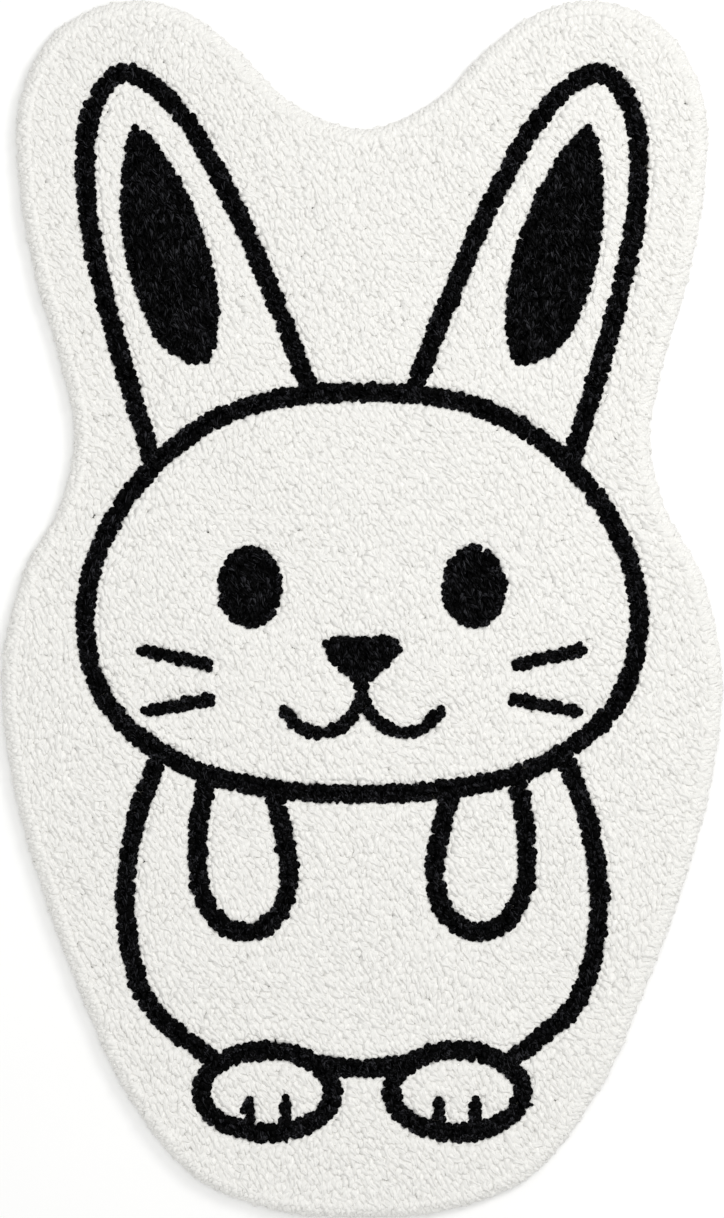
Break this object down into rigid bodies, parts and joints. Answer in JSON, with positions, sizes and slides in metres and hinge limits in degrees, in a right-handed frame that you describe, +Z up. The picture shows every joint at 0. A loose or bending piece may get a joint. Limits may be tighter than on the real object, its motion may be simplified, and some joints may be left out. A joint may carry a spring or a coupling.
{
  "type": "rabbit shaped tufted rug",
  "caption": "Flat tufted floor rug cut to the outline of a rabbit, with a short soft pile that rolls over at its rim.",
  "frame": {"origin": "centre of the underside, on the floor that the rug lies on", "axes": "+X across the rug, +Y towards the tips of the ears, +Z up through the pile"},
  "size_m": [0.592, 1, 0.0189],
  "materials": {
    "white_yarn": "soft warm white polyester yarn, tufted and cut short, matt and fluffy",
    "black_yarn": "soft black polyester yarn, tufted and cut short, matt with fine grey glints",
    "backing_cloth": "plain woven backing cloth, matt and off-white"
  },
  "bodies": {
    "root": {"tufted_rug": "white_yarn"}
  },
  "joints": []
}
